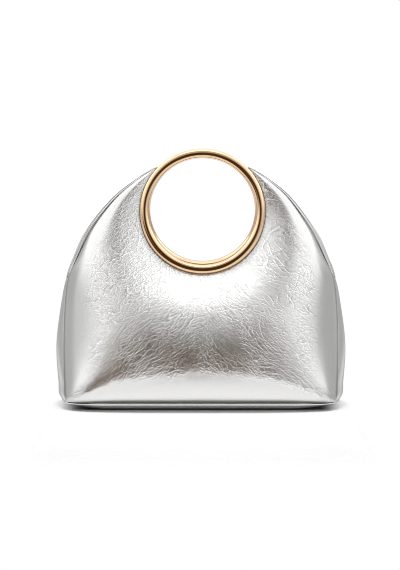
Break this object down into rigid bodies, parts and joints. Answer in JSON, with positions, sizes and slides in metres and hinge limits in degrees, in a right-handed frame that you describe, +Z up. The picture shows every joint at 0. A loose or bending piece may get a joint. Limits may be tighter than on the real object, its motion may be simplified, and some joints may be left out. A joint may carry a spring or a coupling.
{
  "type": "handbag",
  "caption": "Half-moon handbag in crinkled metallic leather, open along its mouth, with a round ring handle set into the top of each face and a flat base to stand on.",
  "frame": {"origin": "middle of the base, on the surface that the bag stands on", "axes": "+X along the bag's width, to the right seen from the front; +Y from the front to the back; +Z up"},
  "size_m": [0.2592, 0.1, 0.2274],
  "materials": {
    "silver_leather": "crinkled silver foil finish",
    "gold_ring": "polished gold plating"
  },
  "bodies": {
    "root": {"base": "silver_leather", "gusset_left": "silver_leather", "gusset_right": "silver_leather", "front_panel": "silver_leather", "front_rim_left": "silver_leather", "front_rim_right": "silver_leather", "front_ring": "gold_ring", "back_panel": "silver_leather", "back_rim_left": "silver_leather", "back_rim_right": "silver_leather", "back_ring": "gold_ring"}
  },
  "joints": []
}
